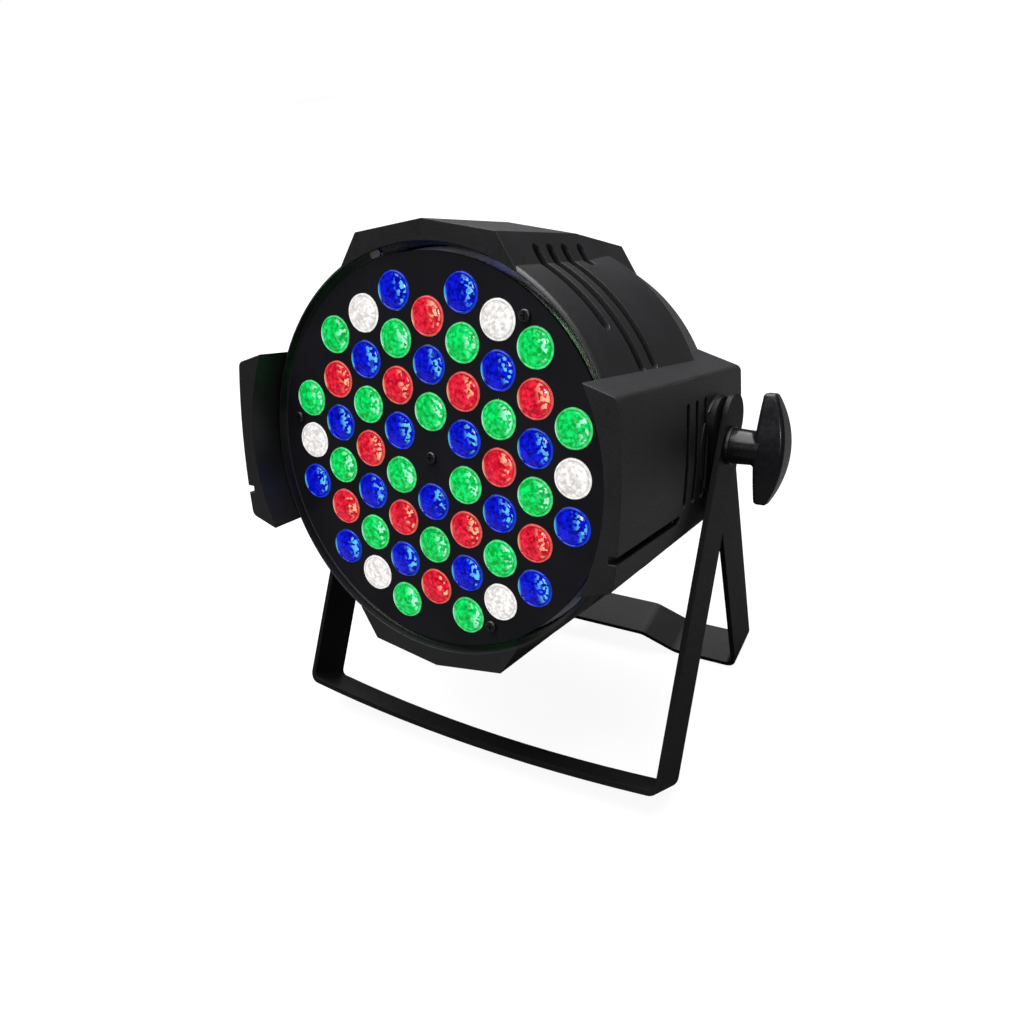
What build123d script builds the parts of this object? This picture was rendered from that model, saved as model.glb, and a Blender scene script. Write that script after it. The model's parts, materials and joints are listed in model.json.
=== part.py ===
from build123d import *
import os
from math import atan2, cos, hypot, radians, sin, sqrt, tan

# LED par can on a double yoke: a cast head with 54 lenses, a rear yoke that carries it
# and a front yoke that props it, both clamped on one tilt axis by two winged knobs.
#
# Millimetres. +Z is up, +X is the viewer's right of the lit front, which faces -Y.
# The head is drawn level in its own frame (origin at the middle of the lens plane, y to
# the back) and head() then puts it on the tilt axis at its rest tilt.

# ---- stance -------------------------------------------------------------------------
HEAD_TILT = 18.0          # the lamp axis points this far above the horizontal
FRONT_LEAN = 38.0         # front yoke, forward of straight down
REAR_LEAN = -5.0          # rear yoke, which leans backward
PIVOT_Y = 24.4            # tilt axis behind the middle of the footprint
PIVOT_DEPTH = 100.0       # tilt axis behind the lens plane
PIVOT_RISE = 1.5          # tilt axis above the lamp axis

# ---- lens field ---------------------------------------------------------------------
PITCH = 24.0              # centre distance of neighbouring lenses
LENS_R = 10.0
LENS_DOME = 2.2           # how far a lens bulges out of the panel
LENS_DEPTH = 12.5
PANEL_R = 103.5
PANEL_T = 2.0
PANEL_SCREW_R = 94.0      # radius of the three outer panel screws
PANEL_SCREW_ANGLES = (52.5, 172.5, 292.5)
SCREW_SHANK_R = 1.45
SCREW_HOLE_R = 1.5
STANDOFF_R = 3.0

# ---- cast housing -------------------------------------------------------------------
BARREL_R = 110.0
BARREL_BACK_R = 100.0
TAPER_START = 104.0       # depth where the barrel starts to draw in
HOUSING_DEPTH = 140.0
WALL = 4.0
ROOT_DEPTH = 14.0         # how far lugs and cheeks run into the drum
MOUTH_R = 108.0           # mouth of the rim, which narrows to the bore behind it
MOUTH_DEPTH = 3.0
RIM_FRONT = -2.0          # the rim stands this far in front of the lens plane
SEAT_DEPTH = 19.6         # front face of the ring that the heat sink is screwed to
SEAT_T = 3.5
SEAT_R = 98.0
REAR_FLANGE_R = 88.0
REAR_FLANGE_T = 6.0

# top and bottom lugs: a ridged roof that falls towards the back
ROOF_HALF = 42.5
ROOF_CORNER = 112.0
ROOF_RIDGE = 118.3
ROOF_FOOT = 53.5
ROOF_FOOT_Z = 95.0
ROOF_STATIONS = ((RIM_FRONT, 0.0), (75.0, 1.2), (131.0, 8.3))   # depth, fall of the roof

# side cheeks: they reach forward of the lens plane and carry the tilt axis
CHEEK_FRONT = -21.0
CHEEK_BACK = 138.5
CHEEK_R = 118.2
CHEEK_CORNER = 115.6
CHEEK_HALF_FRONT = 44.0   # half height of the outer face, which narrows towards the back
CHEEK_HALF_BACK = 39.0
CHEEK_FOOT = 98.0
CHEEK_FOOT_RISE = 5.5     # the foot of each slanted facet stands this far above the face
CHEEK_CROWN_R = 374.0     # radius of the crowned outer face
CHEEK_CORNER_FILLET = 4.0
CHEEK_BACK_CHAMFER = 2.5
CHEEK_INNER_R = 110.0
PAD_R = 27.0              # raised round pad around the tilt axis
PAD_FACE = 118.5
BOSS_R = 14.0
BOSS_DEPTH = 19.0

# ventilation slots
SLOT_W = 7.2
CHEEK_SLOT_W = 4.6
SLOT_DEPTHS = (26.0, 39.5, 54.0)
SLOT_TOP_ANGLE = 64.8
SLOT_END_ANGLES = (39.5, 26.5, 26.5)
SHORT_SLOT_DEPTH = 71.0
SHORT_SLOT_END = 61.5
CHEEK_SLOT_DEPTHS = (56.0, 68.0, 80.0)
CHEEK_SLOT_LOW = -24.0
CHEEK_SLOT_HIGH = 30.0
GROOVE_Z = -28.5
GROOVE_W = 4.0
GROOVE_BACK = 50.0
GROOVE_CUT = 2.6

# ---- yokes --------------------------------------------------------------------------
BAR_W = 28.0
BAR_T = 3.0
BEND_R = 7.0              # outside radius of the bends
ARM_TOP = 28.0            # arm end above the tilt axis
REAR_HALF = 121.8         # outside half width of the inner, rear yoke
REAR_LENGTH = 163.0       # tilt axis to the outer face of the crossbar
FRONT_HALF = 125.1        # outside half width of the outer, front yoke
FRONT_BOW = 6.2           # the front crossbar is bowed away from the head
STEP_HEIGHT = 10.0        # the rear crossbar's middle is stepped up off the floor
STEP_INNER = 58.0
STEP_OUTER = 80.0
STEP_BEND_R = 12.0
CLAMP_HOLE_R = 6.5
STUD_R = 4.0
ARM_HOLE_R = 4.08

# ---- knobs --------------------------------------------------------------------------
GAP = 0.3                 # play between pieces that turn against each other
WASHER_T = 1.5
WASHER_R = 10.4
HUB_R = 9.6
HUB_END_R = 9.0
WING_START = 139.5
WING_TIP_START = 141.0
WING_CREST = 155.8
WING_TIP = 147.6
WING_HALF = 29.6
WING_HALF_T = 8.4
WING_TIP_HALF_T = 3.6
WING_FILLET = 2.2
SADDLE_FILLET = 3.0       # where the hub runs into the wing
WING_LEAN = 5.0           # the wings' upper end leans this far back
STUD_INNER = 101.0

# ---- rear panel ---------------------------------------------------------------------
COVER_T = 3.0
COVER_R = 99.5
COVER_BACK = HOUSING_DEPTH + COVER_T
COVER_SCREW_R = 93.0
COVER_SCREW_COUNT = 6
FAN_SIZE = 60.0
FAN_T = 15.0
FAN_BORE_R = 28.5
FAN_HUB_R = 13.0
FAN_SCREW_PITCH = 50.0
BUTTON_Z = 41.0
BUTTON_PITCH = 17.0
BUTTON_R = 4.0
BUTTON_HOLE_R = 4.3
BUTTON_PROUD = 2.5
WINDOW_Z = 64.0
WINDOW_W = 52.0
WINDOW_H = 22.0
XLR_Z = -58.0
XLR_IN_X = -45.0
XLR_OUT_X = -14.0
XLR_R = 11.6
XLR_BORE_R = 9.6
XLR_FLANGE = (26.0, 31.0)
XLR_PIN_CIRCLE = 4.4
INLET_X = 27.0
INLET_OUTER = (27.0, 20.0)
INLET_INNER = (23.5, 16.5)
INLET_FLANGE = (48.0, 28.0)
FUSE_X = 66.0
FUSE_Z = -40.0
FUSE_R = 6.2
EYE_Z = 85.0
EYE_HOLE_R = 5.0

# ---- light engine and electronics ------------------------------------------------------
EMITTER_W = 3.4
EMITTER_FRONT = 12.7
EMITTER_DOME_R = 1.2
SINK_SCREW_R = 101.8
BOARD_R = 99.0
BOARD_FRONT = 14.0
BOARD_T = 1.6
SINK_R = 105.0
FIN_COUNT = 19
FIN_PITCH = 9.0
FIN_T = 2.0
FIN_BACK = 42.0
FIN_R = 94.0
DRIVER_DEPTH = 52.0
DRIVER_SIZE = (80.0, 104.0)
SUPPLY_DEPTH = 80.0
SUPPLY_SIZE = (116.0, 74.0)
CONTROL_DEPTH = 126.0
CONTROL_SIZE = (84.0, 46.0)
CONTROL_Z = 57.0

# ---- threaded inserts of the tilt axis ---------------------------------------------------
NUT_R = 7.0
NUT_START = 95.0
NUT_END = 112.0
NUT_BORE_R = 4.05

SIDES = (("right", 1), ("left", -1))
CORNERS = ((1, 1), (1, -1), (-1, 1), (-1, -1))
# the rear crossbar's lower back edge rests on the floor
PIVOT_HEIGHT = REAR_LENGTH * cos(radians(REAR_LEAN)) + BAR_W / 2 * sin(radians(-REAR_LEAN))
HEAD_PLACE = (
    Location((0, PIVOT_Y, PIVOT_HEIGHT))
    * Location((0, 0, 0), (-HEAD_TILT, 0, 0))
    * Location((0, -PIVOT_DEPTH, -PIVOT_RISE))
)
AXIS_Y = Plane.XZ         # sketches on it are extruded along the lamp axis


def head(shape):
    """Put a shape drawn in the head's own frame where it stands at rest."""
    return shape.moved(HEAD_PLACE)


def group(shapes):
    """Several separate solids that share one node."""
    solids = []
    for shape in shapes:
        solids.extend(shape.solids())
    return Compound(children=solids)


def depth_cylinder(radius, y0, y1, x=0.0, z=0.0):
    """A cylinder along the lamp axis from depth y0 to y1."""
    body = Cylinder(radius, y1 - y0, align=(Align.CENTER, Align.CENTER, Align.MIN))
    return body.moved(Location((x, y0, z), (-90, 0, 0)))


def cross_cylinder(radius, x0, x1, y=0.0, z=0.0):
    """A cylinder along X from x0 to x1."""
    body = Cylinder(radius, x1 - x0, align=(Align.CENTER, Align.CENTER, Align.MIN))
    return body.moved(Location((x0, y, z), (0, 90, 0)))


def depth_box(width, height, y0, y1, x=0.0, z=0.0):
    """A box width by height across the lamp axis, from depth y0 to y1."""
    body = Box(width, y1 - y0, height)
    return body.moved(Location((x, (y0 + y1) / 2, z)))


def polar(radius, angle):
    """x and z of a point at an angle around the lamp axis."""
    return radius * cos(radians(angle)), radius * sin(radians(angle))


def slab(points, y0, y1):
    """A prism along the lamp axis over an outline of x, z points."""
    face = make_face(Polyline(*[(x, y0, z) for x, z in points], close=True))
    return extrude(face, amount=y1 - y0, dir=(0, 1, 0))


def lens_sites():
    """Centre and colour of each lens: a hexagon of seven columns less its corners."""
    sites = []
    for column in range(-4, 5):
        offset = 0.5 * (column % 2)
        for step in range(-4, 5):
            row = step + offset
            ring = max(abs(column), abs(row) + abs(column) / 2)
            corner = ring == 4 and (abs(column) == 4 and abs(row) == 2 or column == 0)
            if 0 < ring <= 4 and not corner:
                sites.append((column * PITCH * sqrt(3) / 2, row * PITCH, lens_colour(column, row)))
    return sites


def lens_colour(column, row):
    """Diagonal colour order, with white at six places of the field."""
    if abs(column) == 4 and row == 0 or abs(column) == 2 and abs(row) == 3:
        return "white"
    return ("red", "green", "blue")[round(row + 1.5 * column) % 3]


# ---- housing ------------------------------------------------------------------------
def barrel(radius, back_radius, y0, y1):
    """The round drum, drawn in towards the back."""
    outline = Polyline(
        (0, y0), (radius, y0), (radius, TAPER_START), (back_radius, y1), (0, y1), close=True
    )
    return revolve(make_face(outline), axis=Axis.Y)


def roof_outline(fall, inset, y):
    """Cross-section of a top lug at one depth."""
    corner = ROOF_CORNER - fall - inset
    foot = ROOF_FOOT_Z - fall - inset
    base = ROOF_FOOT_Z - fall - ROOT_DEPTH
    points = [
        (-ROOF_FOOT + inset, base),
        (-ROOF_FOOT + inset, foot),
        (-ROOF_HALF + inset, corner),
        (0, ROOF_RIDGE - fall - inset),
        (ROOF_HALF - inset, corner),
        (ROOF_FOOT - inset, foot),
        (ROOF_FOOT - inset, base),
    ]
    return make_face(Polyline(*[(x, y, z) for x, z in points], close=True))


def roof(inset=0.0):
    """The top lug, in two straight lengths that fall towards the back."""
    solid = None
    for (y0, fall0), (y1, fall1) in zip(ROOF_STATIONS, ROOF_STATIONS[1:]):
        run, drop = y1 - y0, fall1 - fall0
        length = extrude(roof_outline(fall0, inset, y0), amount=hypot(run, drop), dir=(0, run, -drop))
        solid = length if solid is None else solid + length
    if inset:
        solid &= depth_cylinder(2 * BARREL_R, SEAT_DEPTH + SEAT_T, ROOF_STATIONS[-1][0] - inset)
    return solid


def facet_cutter(inset):
    """Everything above the slanted facet on top of the right cheek, which falls backwards."""
    run, drop = CHEEK_BACK - CHEEK_FRONT, CHEEK_HALF_FRONT - CHEEK_HALF_BACK
    y0 = CHEEK_FRONT - run / 10
    half = CHEEK_HALF_FRONT + drop / 10 - inset
    slope = CHEEK_FOOT_RISE / (CHEEK_CORNER - CHEEK_FOOT)
    outer, inner = CHEEK_CORNER - inset + 20, CHEEK_FOOT - 2 * ROOT_DEPTH
    points = [
        (outer, half - 20 * slope),
        (outer, half + 60),
        (inner, half + 60),
        (inner, half + (CHEEK_CORNER - inset - inner) * slope),
    ]
    outline = make_face(Polyline(*[(x, y0, z) for x, z in points], close=True))
    return extrude(outline, amount=1.2 * hypot(run, drop), dir=(0, run, -drop))


def cheek(inset=0.0):
    """The right cheek: crowned outer face, slanted facets, a little lower at the back."""
    y0 = SEAT_DEPTH + SEAT_T if inset else CHEEK_FRONT
    half = CHEEK_HALF_FRONT + CHEEK_FOOT_RISE + 5
    edge_x = CHEEK_R - inset - CHEEK_CROWN_R + sqrt(CHEEK_CROWN_R ** 2 - half ** 2)
    crown = ThreePointArc((edge_x, y0, -half), (CHEEK_R - inset, y0, 0), (edge_x, y0, half))
    root = CHEEK_FOOT - ROOT_DEPTH
    rest = Polyline((edge_x, y0, half), (root, y0, half), (root, y0, -half), (edge_x, y0, -half))
    solid = extrude(make_face([crown, rest]), amount=CHEEK_BACK - inset - y0, dir=(0, 1, 0))
    cutter = facet_cutter(inset)
    return solid - cutter - mirror(cutter, about=Plane.XY)


def cheek_chamfers(solid):
    """Round the cheek's two long outer edges and break its back edges."""
    corners = solid.edges().filter_by(
        lambda edge: edge.length > CHEEK_BACK and abs(edge.center().X - CHEEK_CORNER) < 1
    )
    solid = fillet(corners, CHEEK_CORNER_FILLET)
    back_edges = solid.faces().sort_by(Axis.Y)[-1].edges().filter_by(
        lambda edge: edge.center().X > CHEEK_FOOT
    )
    return chamfer(back_edges, CHEEK_BACK_CHAMFER)


def mirrored(shape):
    """The shape and its mirror image across the middle."""
    return [shape, mirror(shape, about=Plane.YZ)]


def ring_slot(depth, start, end):
    """Cutter for one slot around the barrel, with round ends."""
    inner = BARREL_R - 2 * WALL
    outer = ROOF_RIDGE + 4
    section = Pos((inner + outer) / 2, depth) * Rectangle(outer - inner, SLOT_W)
    cutter = revolve(section, axis=Axis.Y, revolution_arc=start - end).rotate(Axis.Y, -start)
    for angle in (start, end):
        x, z = polar(inner, angle)
        tip = Cylinder(SLOT_W / 2, outer - inner, align=(Align.CENTER, Align.CENTER, Align.MIN))
        cutter += tip.moved(Location((x, depth, z), (0, 90 - angle, 0)))
    return cutter


def barrel_slots():
    """The slots of one quadrant, mirrored into all four."""
    slots = [ring_slot(d, SLOT_TOP_ANGLE, end) for d, end in zip(SLOT_DEPTHS, SLOT_END_ANGLES)]
    slots.append(ring_slot(SHORT_SLOT_DEPTH, SLOT_TOP_ANGLE, SHORT_SLOT_END))
    all_slots = []
    for slot in slots:
        for one in mirrored(slot):
            all_slots.extend([one, mirror(one, about=Plane.XY)])
    return all_slots


def cheek_cuts():
    """Upright grooves and the long lower groove in the right cheek's outer face."""
    cuts = []
    height = CHEEK_SLOT_HIGH - CHEEK_SLOT_LOW
    for depth in CHEEK_SLOT_DEPTHS:
        groove = SlotOverall(height, CHEEK_SLOT_W, rotation=90)
        tool = extrude(Plane.YZ * groove, amount=10)
        start = CHEEK_R - GROOVE_CUT
        cuts.append(tool.moved(Location((start, depth, (CHEEK_SLOT_HIGH + CHEEK_SLOT_LOW) / 2))))
    start = CHEEK_CORNER - GROOVE_CUT
    long_box = Box(10, GROOVE_BACK - CHEEK_FRONT, GROOVE_W, align=(Align.MIN, Align.MIN, Align.CENTER))
    cuts.append(long_box.moved(Location((start, CHEEK_FRONT, GROOVE_Z))))
    cuts.append(cross_cylinder(GROOVE_W / 2, start, start + 10, GROOVE_BACK, GROOVE_Z))
    return cuts


def housing_shell():
    """The cast housing: drum, roof lugs, cheeks, seats and bosses in one piece."""
    outer = barrel(BARREL_R, BARREL_BACK_R, RIM_FRONT, HOUSING_DEPTH)
    rim_edge = outer.edges().filter_by(GeomType.CIRCLE).sort_by(Axis.Y)[0]
    outer = fillet(rim_edge, 2.5)
    top = roof()
    outer = outer + top + mirror(top, about=Plane.XY)
    right = cheek_chamfers(cheek())
    right -= depth_cylinder(CHEEK_INNER_R, CHEEK_FRONT - 1, RIM_FRONT + 3)
    for one in mirrored(right):
        outer += one

    hollow = barrel(BARREL_R - WALL, BARREL_BACK_R - WALL, SEAT_DEPTH + SEAT_T, HOUSING_DEPTH)
    inner_top = roof(WALL)
    hollow = hollow + inner_top + mirror(inner_top, about=Plane.XY)
    for one in mirrored(cheek(WALL)):
        hollow += one
    shell = outer - hollow
    shell -= depth_cylinder(BARREL_R - WALL, RIM_FRONT - 1, SEAT_DEPTH)
    shell -= depth_cylinder(SEAT_R, SEAT_DEPTH - 1, SEAT_DEPTH + SEAT_T + 1)
    mouth = Polyline(
        (0, RIM_FRONT - 1), (MOUTH_R + 1, RIM_FRONT - 1), (MOUTH_R, RIM_FRONT),
        (MOUTH_R, MOUTH_DEPTH), (BARREL_R - WALL, MOUTH_DEPTH + 2), (0, MOUTH_DEPTH + 2), close=True,
    )
    shell -= revolve(make_face(mouth), axis=Axis.Y)

    flange = depth_cylinder(BARREL_BACK_R - 1, HOUSING_DEPTH - REAR_FLANGE_T, HOUSING_DEPTH)
    flange -= depth_cylinder(REAR_FLANGE_R, HOUSING_DEPTH - REAR_FLANGE_T - 1, HOUSING_DEPTH + 1)
    shell += flange
    for side in (1, -1):
        pad = cross_cylinder(PAD_R, CHEEK_R - 4, PAD_FACE, PIVOT_DEPTH, PIVOT_RISE)
        boss = cross_cylinder(BOSS_R, CHEEK_R - BOSS_DEPTH, CHEEK_R - 2, PIVOT_DEPTH, PIVOT_RISE)
        support = pad + boss
        shell += support if side > 0 else mirror(support, about=Plane.YZ)
    for cut in barrel_slots():
        shell -= cut
    for cut in cheek_cuts():
        for one in mirrored(cut):
            shell -= one
    for side in (1, -1):
        through = cross_cylinder(STUD_R + 0.3, 90, 130, PIVOT_DEPTH, PIVOT_RISE)
        seat = cross_cylinder(NUT_R, NUT_START, NUT_END, PIVOT_DEPTH, PIVOT_RISE)
        shell -= through if side > 0 else mirror(through, about=Plane.YZ)
        shell -= seat if side > 0 else mirror(seat, about=Plane.YZ)
    for x, z in cover_screw_sites():
        shell -= depth_cylinder(SCREW_HOLE_R, HOUSING_DEPTH - REAR_FLANGE_T - 1, HOUSING_DEPTH + 1, x, z)
    for x, z in sink_screw_sites():
        shell -= depth_cylinder(SCREW_HOLE_R, SEAT_DEPTH - 1, SEAT_DEPTH + SEAT_T + 1, x, z)
    return shell


def pivot_nut(side):
    """Threaded brass insert inside a cheek's boss."""
    start = CHEEK_R - BOSS_DEPTH
    body = cross_cylinder(NUT_R, start, NUT_END, PIVOT_DEPTH, PIVOT_RISE)
    body -= cross_cylinder(NUT_BORE_R, start - 1, NUT_END + 1, PIVOT_DEPTH, PIVOT_RISE)
    return body if side > 0 else mirror(body, about=Plane.YZ)


# ---- light engine -------------------------------------------------------------------
def panel_screw_sites():
    return [(0.0, 0.0)] + [polar(PANEL_SCREW_R, angle) for angle in PANEL_SCREW_ANGLES]


def cover_screw_sites():
    step = 360 / COVER_SCREW_COUNT
    return [polar(COVER_SCREW_R, step * i) for i in range(COVER_SCREW_COUNT)]


def sink_screw_sites():
    return [polar(SINK_SCREW_R, angle) for angle in (12, 102, 192, 282)]


def board_screw_sites():
    """Between three lenses each, on one ring of the lens field."""
    return [polar(2 * PITCH / sqrt(3), 60 * i) for i in range(6)]


def lens_panel():
    """Flat black disc with a round window for each lens."""
    panel = depth_cylinder(PANEL_R, 0, PANEL_T)
    holes = [depth_cylinder(LENS_R + 0.2, -1, PANEL_T + 1, x, z) for x, z, _ in lens_sites()]
    holes += [depth_cylinder(SCREW_HOLE_R, -1, PANEL_T + 1, x, z) for x, z in panel_screw_sites()]
    return panel - holes


def lens():
    """One moulded lens: domed front, flange and a cone down to its light source."""
    dome = ThreePointArc((0, -LENS_DOME), (LENS_R * 0.55, -LENS_DOME * 0.68), (LENS_R - 0.5, -0.1))
    body = Polyline(
        (LENS_R - 0.5, -0.1), (LENS_R, 0.4), (LENS_R, 2.6), (9.0, 3.2), (5.2, LENS_DEPTH),
        (3.4, LENS_DEPTH), (2.9, 7.4), (0, 6.6), (0, -LENS_DOME),
    )
    return revolve(make_face([dome, body]), axis=Axis.Y)


def lens_set(colour):
    one = lens()
    return group([one.moved(Location((x, 0, z))) for x, z, name in lens_sites() if name == colour])


def emitters():
    """A square light source with a small clear dome behind each lens."""
    one = depth_box(EMITTER_W, EMITTER_W, EMITTER_FRONT, BOARD_FRONT)
    one += Sphere(EMITTER_DOME_R).moved(Location((0, EMITTER_FRONT, 0)))
    return group([one.moved(Location((x, 0, z))) for x, z, _ in lens_sites()])


def led_board():
    board = depth_cylinder(BOARD_R, BOARD_FRONT, BOARD_FRONT + BOARD_T)
    holes = [depth_cylinder(STANDOFF_R + 0.3, 10, 20, x, z) for x, z in panel_screw_sites()]
    holes += [depth_cylinder(SCREW_HOLE_R, 10, 20, x, z) for x, z in board_screw_sites()]
    return board - holes


def heat_sink():
    """Round plate with upright fins on its back."""
    front = BOARD_FRONT + BOARD_T
    plate = depth_cylinder(SINK_R, front, SEAT_DEPTH)
    core = depth_cylinder(FIN_R, front, FIN_BACK)
    first = -(FIN_COUNT - 1) / 2 * FIN_PITCH
    fins = [depth_box(FIN_T, 2 * FIN_R, front, FIN_BACK, first + i * FIN_PITCH) for i in range(FIN_COUNT)]
    for fin in fins:
        plate += fin & core
    holes = [depth_cylinder(SCREW_HOLE_R, front - 1, FIN_BACK + 1, x, z) for x, z in sink_screw_sites()]
    for x, z in board_screw_sites() + panel_screw_sites():
        holes.append(depth_cylinder(SCREW_HOLE_R, front - 1, SEAT_DEPTH, x, z))
    return plate - holes


def panel_standoffs():
    posts = []
    for x, z in panel_screw_sites():
        post = depth_cylinder(STANDOFF_R, PANEL_T, BOARD_FRONT + BOARD_T, x, z)
        posts.append(post - depth_cylinder(SCREW_HOLE_R, PANEL_T - 1, 20, x, z))
    return group(posts)


def screw(x, z, seat, length, head_r=2.9, head_t=1.7, facing=-1):
    """Pan-head screw with a cross recess. It faces the front (-1) or the back (+1)."""
    tip = seat - facing * length
    top = seat + facing * head_t
    body = depth_cylinder(head_r, min(seat, top), max(seat, top), x, z)
    rim = body.edges().filter_by(GeomType.CIRCLE).sort_by(Axis.Y)[0 if facing < 0 else -1]
    body = fillet(rim, head_t * 0.55)
    floor = top - facing * head_t * 0.6
    for width, height in ((0.8, head_r * 1.2), (head_r * 1.2, 0.8)):
        body -= depth_box(width, height, min(floor, top + facing), max(floor, top + facing), x, z)
    return body + depth_cylinder(SCREW_SHANK_R, min(seat, tip), max(seat, tip), x, z)


# ---- electronics --------------------------------------------------------------------
DRIVER_POSTS = [(sx * 31.5, sz * 46.0) for sx, sz in CORNERS]
SUPPLY_POSTS = [(sx * 49.5, sz * 30.0) for sx, sz in CORNERS]
CONTROL_POSTS = [(sx * 36.0, CONTROL_Z + sz * 19.0) for sx, sz in CORNERS]


def circuit_board(size, depth, posts, z=0.0):
    board = depth_box(size[0], size[1], depth, depth + BOARD_T, 0, z)
    return board - [depth_cylinder(SCREW_HOLE_R, depth - 1, depth + 3, px, pz) for px, pz in posts]


def post_set(posts, y0, y1):
    solids = []
    for x, z in posts:
        post = depth_cylinder(STANDOFF_R, y0, y1, x, z)
        solids.append(post - depth_cylinder(SCREW_HOLE_R, y1 - 8, y1 + 1, x, z))
    return group(solids)


def supply_parts():
    """Transformer, filter choke and smoothing capacitors on the power supply board."""
    top = SUPPLY_DEPTH + BOARD_T
    solids = [depth_box(32, 28, top, top + 24, -26, 12)]
    solids.append(depth_box(18, 22, top, top + 16, 10, 20))
    for x, z in ((36, 18), (36, -4), (16, -16)):
        solids.append(depth_cylinder(8, top, top + 22, x, z))
    for x in (-40, -24, -8):
        solids.append(depth_box(11, 6, top, top + 14, x, -24))
    return group(solids)


def driver_parts():
    """Four coil and chip pairs, one pair for each colour."""
    top = DRIVER_DEPTH + BOARD_T
    solids = []
    for i in range(4):
        z = -30 + 20 * i
        solids.append(depth_cylinder(6.5, top, top + 8, -14, z))
        solids.append(depth_box(10, 8, top, top + 2.5, 12, z))
    return group(solids)


# ---- rear panel ---------------------------------------------------------------------
def button_x(index):
    return (index - 1.5) * BUTTON_PITCH


def fan_grille_cuts():
    """Arc slots in front of the fan: four rings of four."""
    cuts = []
    for radius in (8.5, 14.0, 19.5, 25.0):
        ring = depth_cylinder(radius + 1.7, HOUSING_DEPTH - 1, COVER_BACK + 1)
        ring -= depth_cylinder(radius - 1.7, HOUSING_DEPTH - 2, COVER_BACK + 2)
        for angle in (45, 135):
            bar = depth_box(80, 3.4, HOUSING_DEPTH - 2, COVER_BACK + 2)
            ring -= bar.rotate(Axis.Y, angle)
        cuts.append(ring)
    return cuts


def rear_cover():
    """Round back plate with every opening that the fittings need."""
    plate = depth_cylinder(COVER_R, HOUSING_DEPTH, COVER_BACK)
    plate = fillet(plate.edges().filter_by(GeomType.CIRCLE).sort_by(Axis.Y)[-1], 2.0)
    y0, y1 = HOUSING_DEPTH - 1, COVER_BACK + 1
    cuts = fan_grille_cuts()
    cuts.append(depth_box(WINDOW_W, WINDOW_H, y0, y1, 0, WINDOW_Z))
    cuts += [depth_cylinder(BUTTON_HOLE_R, y0, y1, button_x(i), BUTTON_Z) for i in range(4)]
    cuts += [depth_cylinder(XLR_R + 0.2, y0, y1, x, XLR_Z) for x in (XLR_IN_X, XLR_OUT_X)]
    cuts.append(depth_box(INLET_OUTER[0] + 0.4, INLET_OUTER[1] + 0.4, y0, y1, INLET_X, XLR_Z))
    cuts.append(depth_cylinder(FUSE_R + 0.2, y0, y1, FUSE_X, FUSE_Z))
    screws = cover_screw_sites() + fan_screw_sites() + fitting_screw_sites() + eye_screw_sites()
    cuts += [depth_cylinder(SCREW_HOLE_R, y0, y1, x, z) for x, z in screws]
    for cut in cuts:
        plate -= cut
    return plate


def fan_screw_sites():
    half = FAN_SCREW_PITCH / 2
    return [(sx * half, sz * half) for sx, sz in CORNERS]


def fitting_screw_sites():
    """Two screws for each of the three sockets."""
    sites = []
    for x in (XLR_IN_X, XLR_OUT_X):
        sites += [(x - 9.5, XLR_Z + 12), (x + 9.5, XLR_Z - 12)]
    sites += [(INLET_X - 20, XLR_Z), (INLET_X + 20, XLR_Z)]
    return sites


def eye_screw_sites():
    return [(-10, EYE_Z), (10, EYE_Z)]


def fan_frame():
    y1 = HOUSING_DEPTH
    y0 = y1 - FAN_T
    frame = depth_box(FAN_SIZE, FAN_SIZE, y0, y1)
    frame = fillet(frame.edges().filter_by(Axis.Y), 4)
    frame -= depth_cylinder(FAN_BORE_R, y0 - 1, y1 + 1)
    for x, z in fan_screw_sites():
        frame -= depth_cylinder(SCREW_HOLE_R, y0 - 1, y1 + 1, x, z)
    motor = depth_cylinder(FAN_HUB_R, y0, y0 + 3)
    for angle in (0, 90):
        motor += depth_box(2 * FAN_BORE_R + 2, 3, y0, y0 + 2.5).rotate(Axis.Y, angle + 45)
    frame += motor
    return frame + depth_cylinder(2.0, y0 + 3, y0 + 9)


def fan_rotor():
    """Cup hub with seven pitched blades on the frame's spindle."""
    y0 = HOUSING_DEPTH - FAN_T + 3.4
    y1 = HOUSING_DEPTH - 1.0
    rotor = depth_cylinder(FAN_HUB_R, y0, y1)
    rotor -= depth_cylinder(2.06, y0 - 1, y0 + 6)
    swept = depth_cylinder(FAN_BORE_R - 1, y0, y1)
    for i in range(7):
        blade = Box(FAN_BORE_R, 1.4, 13, align=(Align.MIN, Align.CENTER, Align.CENTER))
        blade = blade.moved(Location((6, (y0 + y1) / 2, 0), (38, 0, 0)))
        rotor += (blade & swept).rotate(Axis.Y, i * 360 / 7)
    return rotor


def button(index):
    """Push cap with a collar that keeps it behind the cover."""
    x = button_x(index)
    cap = depth_cylinder(BUTTON_R, 133.0, COVER_BACK + BUTTON_PROUD, x, BUTTON_Z)
    cap = fillet(cap.edges().filter_by(GeomType.CIRCLE).sort_by(Axis.Y)[-1], 0.8)
    return cap + depth_cylinder(BUTTON_R + 1.2, 137.0, HOUSING_DEPTH - 0.4, x, BUTTON_Z)


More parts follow.
